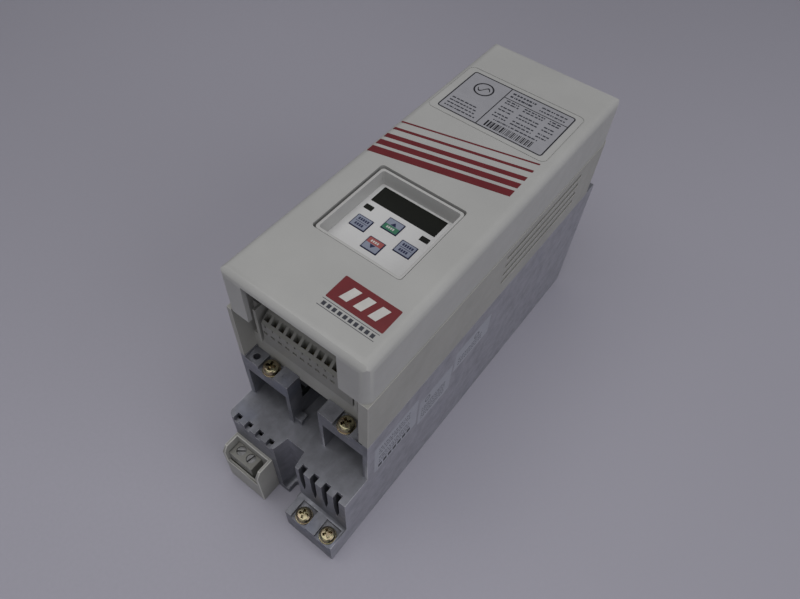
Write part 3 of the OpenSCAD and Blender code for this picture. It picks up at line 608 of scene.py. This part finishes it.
def rating_label():
    low, high = place("rating_label")
    film = high.z - INK
    divide_x = low.x + 26.3
    header_y = low.y + 30.7

    def draw_film(bm):
        add_prism(bm, rounded_rectangle(low.x, low.y, high.x, high.y, 2), low.z, film)

    def draw_lines(bm):
        margin, border = 0.1, 0.75
        inner = margin + border
        x0, y0, x1, y1 = low.x + margin, low.y + margin, high.x - margin, high.y - margin
        add_outline(bm, x0, y0, x1, y1, 1.9, border, film, high.z)
        divider = rectangle(divide_x - 0.3, low.y + inner, divide_x + 0.3, high.y - inner)
        add_prism(bm, divider, film, high.z)
        header = rectangle(divide_x + 0.3, header_y, high.x - inner, header_y + 0.55)
        add_prism(bm, header, film, high.z)
        # a plain mark: a ring around a sine wave
        cx, cy = low.x + 13.5, low.y + 29
        add_band(bm, disc(cx, cy, 6.2, 40), disc(cx, cy, 5.2, 40), film, high.z)
        wave = [(3.9 * (t / 12 - 1), 2.3 * math.sin(math.pi * (t / 12 - 1))) for t in range(25)]
        upper = [(cx + x, cy + y + 0.55) for x, y in wave]
        lower = [(cx + x, cy + y - 0.55) for x, y in reversed(wave)]
        add_prism(bm, upper + lower, film, high.z)

    def draw_text(bm):
        rows = random.Random(3)
        maker_rows = (3.2, 6.0, 8.8, 11.6)
        data_rows = (12.5, 15.2, 19.2, 22.0, 26.4, 28.6)
        title_rows = (33.2, 36.4)

        def line(x0, x1, y, height):
            text_bars(bm, x0, x1, low.y + y, height, film, high.z, rows)

        for k, y in enumerate(maker_rows):
            line(low.x + 3, divide_x - 3 - k, y, 1.0)
        for y in data_rows:
            line(divide_x + 3, divide_x + 12, y, 1.05)
            line(divide_x + 15, high.x - 14, y, 1.05)
            line(high.x - 11, high.x - 4, y, 1.05)
        for y in title_rows:
            line(divide_x + 2.5, divide_x + 18, y, 1.5)
            line(divide_x + 22, high.x - 4, y, 1.1)
        line(divide_x + 6, high.x - 8, 9.4, 1.0)

    def draw_code(bm):
        bars = random.Random(11)
        bar_low, bar_high = low.y + 2.2, low.y + 7.6
        x = divide_x + 4
        while x < high.x - 9:
            width = bars.choice((0.35, 0.35, 0.7, 1.05))
            add_prism(bm, rectangle(x, bar_low, x + width, bar_high), film, high.z)
            x += width + bars.choice((0.35, 0.45, 0.8))

    label = flat_print("rating_label_film", "cover", "label_film", draw_film)
    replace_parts(label, "rating_label")
    flat_print("rating_label_lines", "cover", "black_ink", draw_lines)
    flat_print("rating_label_text", "cover", "grey_ink", draw_text)
    flat_print("rating_label_code", "cover", "black_ink", draw_code)


def cover_prints():
    frame["nodes"]["stripe_print"].data.materials.clear()
    frame["nodes"]["stripe_print"].data.materials.append(LOOKS["stripe_ink"])
    low, high = place("badge")
    ink = high.z - INK

    def draw_badge(bm):
        add_prism(bm, rounded_rectangle(low.x, low.y, high.x, high.y, 0.6), low.z, ink)

    def draw_mark(bm):
        # three slanted blocks, a plain mark
        pitch, width, slant = 8.2, 4.6, 2.4
        y0, y1 = low.y + 3.2, high.y - 3.2
        for k in range(3):
            x = low.x + 5 + pitch * k
            block = [(x, y0), (x + width, y0), (x + width + slant, y1), (x + slant, y1)]
            add_prism(bm, block, ink, high.z)

    def draw_caption(bm):
        y = low.y - 1.4
        caption_top = low.z + 0.05
        pitch = 3.05
        for line in (y, y - 4.2):
            add_prism(bm, rectangle(low.x - 0.3, line, high.x - 0.5, line + 0.28), low.z, caption_top)
        for k in range(10):
            x = low.x + 1.2 + pitch * k
            add_prism(bm, rectangle(x, y - 3.1, x + 1.9, y - 0.9), low.z, caption_top)

    badge = flat_print("badge_panel", "cover", "badge_ink", draw_badge)
    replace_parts(badge, "badge")
    flat_print("badge_mark", "cover", "white_ink", draw_mark)
    flat_print("badge_caption", "cover", "grey_ink", draw_caption)


def side_stickers():
    """Three thin stickers on the right wall, with faint print."""
    low, high = place("side_labels")
    face_x = high.x
    # local x runs along +Y and local y along +Z of the drive
    stand = Matrix(((0, 0, 1, 0), (1, 0, 0, 0), (0, 1, 0, 0), (0, 0, 0, 1)))
    near = low.y - 6
    # each sheet's near and far end, measured from near, and its lowest and highest Z
    sheets = [(6, 45, 60, 91), (47, 80, 54, 82), (82, 120, 70, 91)]
    # the ends of the lines of print on each sheet, and the Z of each line
    prints = {
        (10, 38): (68, 71, 74, 79, 82, 85),
        (50, 74): (58, 61, 64, 67, 70),
        (86, 112): (73, 76, 79),
    }

    def draw_film(bm):
        for y0, y1, z0, z1 in sheets:
            add_prism(bm, rounded_rectangle(near + y0, z0, near + y1, z1, 1.5), low.x, face_x - INK, stand)

    def draw_ink(bm):
        rows = random.Random(5)
        text_height = 0.8

        def bars(y0, y1, z):
            y = near + y0
            while y < near + y1 - 0.5:
                width = min(rows.uniform(0.6, 2.2), near + y1 - y)
                add_prism(bm, rectangle(y, z, y + width, z + text_height), face_x - INK, face_x, stand)
                y += width + rows.uniform(0.4, 0.9)

        for (y0, y1), heights in prints.items():
            for z in heights:
                bars(y0, y1, z)
        for y, z in ((55, 77), (105, 84)):
            add_band(bm, disc(near + y, z, 2.6), disc(near + y, z, 2.0), face_x - INK, face_x, stand)

    def draw_row(bm):
        pitch, width = 4.4, 3.1
        for k in range(7):
            y = near + 9.5 + pitch * k
            add_prism(bm, rectangle(y, 61.8, y + width, 65.2), face_x - INK, face_x, stand)

    film = flat_print("side_label_films", "drive", "sticker_film", draw_film)
    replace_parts(film, "side_labels")
    flat_print("side_label_print", "drive", "grey_ink", draw_ink)
    flat_print("side_label_row", "drive", "black_ink", draw_row)


# ---------------------------------------------------------------- operator


def operator():
    refine("operator_face_plate", 0.12)
    refine("operator_back_cover", 0.25)
    refine("operator_plug", 0.2)
    refine("operator_board", 0.1)
    refine("display_block", 0.2)
    refine("operator_leds", 0.3, segments=3)
    refine("key_switches", 0.15)
    low, high = place("display_window")
    windows("display_window", [(low.x, low.y, high.x, high.y)], 0.7)
    low, high = place("led_windows")
    width, length = 5.1, 3.3
    left_led = (low.x, low.y, low.x + width, low.y + length)
    right_led = (high.x - width, high.y - length, high.x, high.y)
    windows("led_windows", [left_led, right_led], 0.6)


def windows(node, panes, r):
    """Rounded panes in place of a CAD node of square ones."""
    low, high = place(node)
    bm = bmesh.new()
    for x0, y0, x1, y1 in panes:
        add_prism(bm, rounded_rectangle(x0, y0, x1, y1, r), low.z, high.z)
    soften(bm, 0.06)
    piece = add_piece(node + "_fine", to_mesh(bm, node), "operator", "window_plastic")
    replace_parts(piece, node)


KEY_PRINTS = {
    "key_left": ("key_grey", None),
    "key_right": ("key_grey", None),
    "key_up": ("key_grey", "key_green"),
    "key_down": ("key_grey", "key_red"),
}


def key(node, base, band):
    """A key cap: dark rounded rim, coloured top, and a generic symbol on it."""
    body = BODY_OF[node]
    low, high = place(node)
    x0, x1 = low.x + KEY_MARGIN, high.x - KEY_MARGIN
    y0, y1 = low.y + KEY_MARGIN, high.y - KEY_MARGIN
    bm = bmesh.new()
    add_prism(bm, rounded_rectangle(x0, y0, x1, y1, 0.7), low.z, high.z - 0.04)
    soften(bm, 0.18, 3)
    foot_top = high.z - 1.95
    add_prism(bm, rectangle(low.x, low.y, high.x, high.y), foot_top - 1, foot_top)
    cap = add_piece(node + "_cap", to_mesh(bm, node), body, "navy_ink")
    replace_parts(cap, node)
    inset, top, ink = 0.42, high.z, high.z - 0.02
    half = (y0 + y1) / 2
    middle = (x0 + x1) / 2
    tops = [(base, y0 + inset, y1 - inset)]
    if band == "key_green":
        tops = [(band, y0 + inset, half - 0.2), (base, half - 0.2, y1 - inset)]
    elif band == "key_red":
        tops = [(base, y0 + inset, half + 0.2), (band, half + 0.2, y1 - inset)]
    for look, a, b in tops:

        def draw_top(bm, a=a, b=b):
            add_prism(bm, rounded_rectangle(x0 + inset, a, x1 - inset, b, 0.3), top - 0.06, top - 0.015)

        flat_print(f"{node}_{look}", body, look, draw_top)

    def draw_symbol(bm):
        if band is None:
            for y, width in ((half + 1.0, 3.0), (half - 2.7, 2.6)):
                x = middle - width
                while x < middle + width - 0.3:
                    add_prism(bm, rectangle(x, y, x + 0.95, y + 1.7), ink, top)
                    x += 1.35
            add_prism(bm, rectangle(x0 + 1.2, half - 0.15, x1 - 1.2, half + 0.15), ink, top)
        elif band == "key_green":
            add_prism(bm, [(middle - 1.7, half), (middle + 1.7, half), (middle, half + 2.4)], ink, top)
        else:
            add_prism(bm, [(middle + 1.7, half), (middle - 1.7, half), (middle, half - 2.4)], ink, top)

    flat_print(f"{node}_symbol", body, "navy_ink", draw_symbol)
    if band:
        y = half - 2.6 if band == "key_green" else half + 1.2

        def draw_bars(bm):
            x = middle - 2.6
            while x < middle + 2.2:
                add_prism(bm, rectangle(x, y, x + 0.85, y + 1.4), ink, top)
                x += 1.25

        flat_print(f"{node}_bars", body, "white_ink", draw_bars)


# ---------------------------------------------------------------- screws


def cross_cutter(radius, depth, top, turn):
    """A cross-shaped drive recess that narrows downwards."""
    arm, half = radius * 0.6, radius * 0.17
    outline = [(half, half), (half, arm), (-half, arm), (-half, half), (-arm, half), (-arm, -half)]
    outline += [(-half, -half), (-half, -arm), (half, -arm), (half, -half), (arm, -half), (arm, half)]
    spin = Matrix.Rotation(math.radians(turn), 3, "Z")
    bm = bmesh.new()
    rings = []
    for z, k in ((top - depth, 0.62), (top + 1, 1.15)):
        corners = [spin @ Vector((k * x, k * y, z)) for x, y in outline]
        rings.append([bm.verts.new(corner * MM) for corner in corners])
    bm.faces.new(list(reversed(rings[0])))
    bm.faces.new(rings[1])
    for i in range(len(outline)):
        j = (i + 1) % len(outline)
        bm.faces.new((rings[0][i], rings[0][j], rings[1][j], rings[1][i]))
    return to_mesh(bm, "cross_cutter")


def domed_screw(radius, height, shank_r, shank_l, turn):
    """A pan-head screw with its seat at the origin."""
    bm = bmesh.new()
    profile = [(0, -shank_l), (shank_r * 0.7, -shank_l), (shank_r, -shank_l + 0.8), (shank_r, 0)]
    profile += [(radius - 0.25, 0), (radius, 0.25), (radius, height * 0.35)]
    steps = 8
    for i in range(1, steps):
        a = math.radians(90 * i / steps)
        profile.append((radius * (0.62 + 0.38 * math.cos(a)), height * (0.35 + 0.65 * math.sin(a))))
    profile.append((0, height))
    add_lathe(bm, profile, steps=48)
    head = to_mesh(bm, "domed_screw", 40)
    done = cut(head, cross_cutter(radius, height * 0.75, height, turn))
    smooth(done, 40)
    return done


def joined(name, meshes_at):
    """One mesh from (mesh, matrix) pairs."""
    bm = bmesh.new()
    for mesh, matrix in meshes_at:
        copy = mesh.copy()
        copy.transform(matrix)
        bm.from_mesh(copy)
        bpy.data.meshes.remove(copy)
    mesh = bpy.data.meshes.new(name)
    bm.to_mesh(mesh)
    bm.free()
    smooth(mesh, 40)
    mesh.materials.clear()
    return mesh


def screw_pairs():
    """Domed cross-head screws with washers in the earth tabs and the earth ledge."""
    for node, washer, radius, height, shank in (
        ("tab_screws", "tab_washers", 4.75, 3.4, 12),
        ("ledge_screws", "ledge_washers", 4.9, 3.6, 11),
    ):
        low, high = place(node)
        y = (low.y + high.y) / 2
        seat = high.z - height
        spots = []
        for k, x in enumerate((low.x + radius, high.x - radius)):
            screw = domed_screw(radius, height, 2.45, shank, 20 + 33 * k)
            spots.append((screw, Matrix.Translation(Vector((x, y, seat)) * MM)))
        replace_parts(add_piece(node + "_domed", joined(node, spots), "drive", "zinc_steel"), node)
        refine(washer, 0.2)


def fan_screws():
    low, high = place("fan_screws")
    radius, height = 3.6, 2.2
    spots = []
    for x in (low.x + radius, high.x - radius):
        for z in (low.z + radius, high.z - radius):
            screw = domed_screw(radius, height, 1.9, 10, 15 + x + z)
            turn = Matrix.Rotation(math.radians(-90), 4, "X")
            spots.append((screw, Matrix.Translation(Vector((x, high.y - height, z)) * MM) @ turn))
    piece = add_piece("fan_screws_domed", joined("fan_screws", spots), "drive", "zinc_steel")
    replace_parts(piece, "fan_screws")


# ---------------------------------------------------------------- terminals, boards and fan


def terminals():
    refine("control_plug", 0.12)
    refine("control_screws", 0.12)
    refine("control_header", 0.2)
    refine("header_pins", 0.08)
    refine("line_terminals", 0.25)
    refine("motor_terminals", 0.25)
    refine("power_terminal_screws", 0.15)
    refine("sensor_terminal", 0.3)
    refine("sensor_screws", 0.2)


def electronics():
    for node, radius in (
        ("control_board", 0.1),
        ("power_board", 0.1),
        ("processor", 0.2),
        ("board_capacitors", 0.4),
        ("operator_socket", 0.2),
        ("flat_cable", 0.15),
        ("board_spacers", 0.2),
        ("inverter_module", 0.3),
        ("rectifier_module", 0.3),
        ("dc_capacitors", 0.5),
        ("film_capacitors", 0.6),
        ("charging_relay", 0.4),
        ("supply_transformer", 0.3),
    ):
        refine(node, radius)
    for node in ("mains_choke", "fan_stator"):
        mesh = frame["nodes"][node].data
        mesh.materials.clear()
        mesh.materials.append(LOOKS[SLOT_OF[node]])


def board_parts():
    """Small chips with their legs, resistors and ceramic capacitors on the control board."""
    low, high = place("control_board")
    tall_parts = ("control_header", "processor", "operator_socket", "board_capacitors", "flat_cable")
    boxes = [place(node) for node in tall_parts]
    taken = [(a.x - 1, a.y - 1, b.x + 1, b.y + 1) for a, b in boxes]
    kinds = ((4.0, 9.0, 1.6), (6.5, 11.0, 2.0), (1.6, 3.2, 0.6), (1.2, 2.0, 0.6), (1.2, 2.0, 0.6))
    spots = random.Random(21)
    chips, legs, ceramics = bmesh.new(), bmesh.new(), bmesh.new()
    top = high.z
    base = top - 0.05
    for _ in range(420):
        wide, long, tall = spots.choice(kinds)
        x = spots.uniform(low.x + 2.5, high.x - 2.5 - wide)
        y = spots.uniform(low.y + 2, high.y - 2 - long)
        spot = (x - 1.4, y - 0.6, x + wide + 1.4, y + long + 0.6)
        if any(spot[0] < t[2] and t[0] < spot[2] and spot[1] < t[3] and t[1] < spot[3] for t in taken):
            continue
        taken.append(spot)
        small = tall < 1
        body = ceramics if small and spots.random() < 0.4 else chips
        add_prism(body, rectangle(x, y, x + wide, y + long), base, top + tall)
        if small:
            for end in (y - 0.1, y + long - 0.3):
                cap = rectangle(x - 0.05, end, x + wide + 0.05, end + 0.4)
                add_prism(legs, cap, base, top + 0.63)
            continue
        for k in range(int(long / LEG_PITCH)):
            leg_y = y + 0.3 + LEG_PITCH * k
            for side in (x - 1.0, x + wide):
                add_prism(legs, rectangle(side, leg_y, side + 1.0, leg_y + 0.5), base, top + 0.4)
    for name, bm, look in (
        ("chips", chips, "chip_plastic"),
        ("legs", legs, "plug_metal"),
        ("ceramics", ceramics, "film_case"),
    ):
        add_piece("control_board_" + name, to_mesh(bm, name), "drive", look)


def fan():
    refine("fan_frame", 0.4)
    refine("fan_guard", 0.3)
    for node in ("fan_bearings", "fan_shaft", "fan_rotor"):
        refine(node, 0.15)


# ---------------------------------------------------------------- floor


def add_floor():
    look = Look("studio_paper", specular=0.2)
    pale = (0.405, 0.396, 0.455)
    slow = look.span(look.noise(900, detail=1), 0.35, 0.65, 0, 1)
    tone = look.mix(slow, scaled(pale, 0.94), scaled(pale, 1.06))
    look.colour(look.mix(look.span(look.noise(2.5, detail=5), 0.3, 0.7, 0, 0.3), tone, scaled(pale, 0.95)))
    look.rough(look.noise(60), 0.6, 0.75)
    look.bump(look.noise(1.4, detail=4), 0.03, 0.5)
    bm = bmesh.new()
    bmesh.ops.create_grid(bm, x_segments=24, y_segments=24, size=3)
    bmesh.ops.translate(bm, verts=bm.verts, vec=(0, 0, cad_bounds[0][2] - 0.0002))
    mesh = to_mesh(bm, "floor")
    mesh.materials.append(look.material)
    floor = bpy.data.objects.new("floor", mesh)
    bpy.context.scene.collection.objects.link(floor)


add_camera()
add_studio()
add_floor()
shells()
earth_marks()
rating_label()
cover_prints()
side_stickers()
operator()
for node_name, (base_look, band_look) in KEY_PRINTS.items():
    key(node_name, base_look, band_look)
screw_pairs()
fan_screws()
terminals()
electronics()
board_parts()
fan()

bpy.context.view_layer.update()
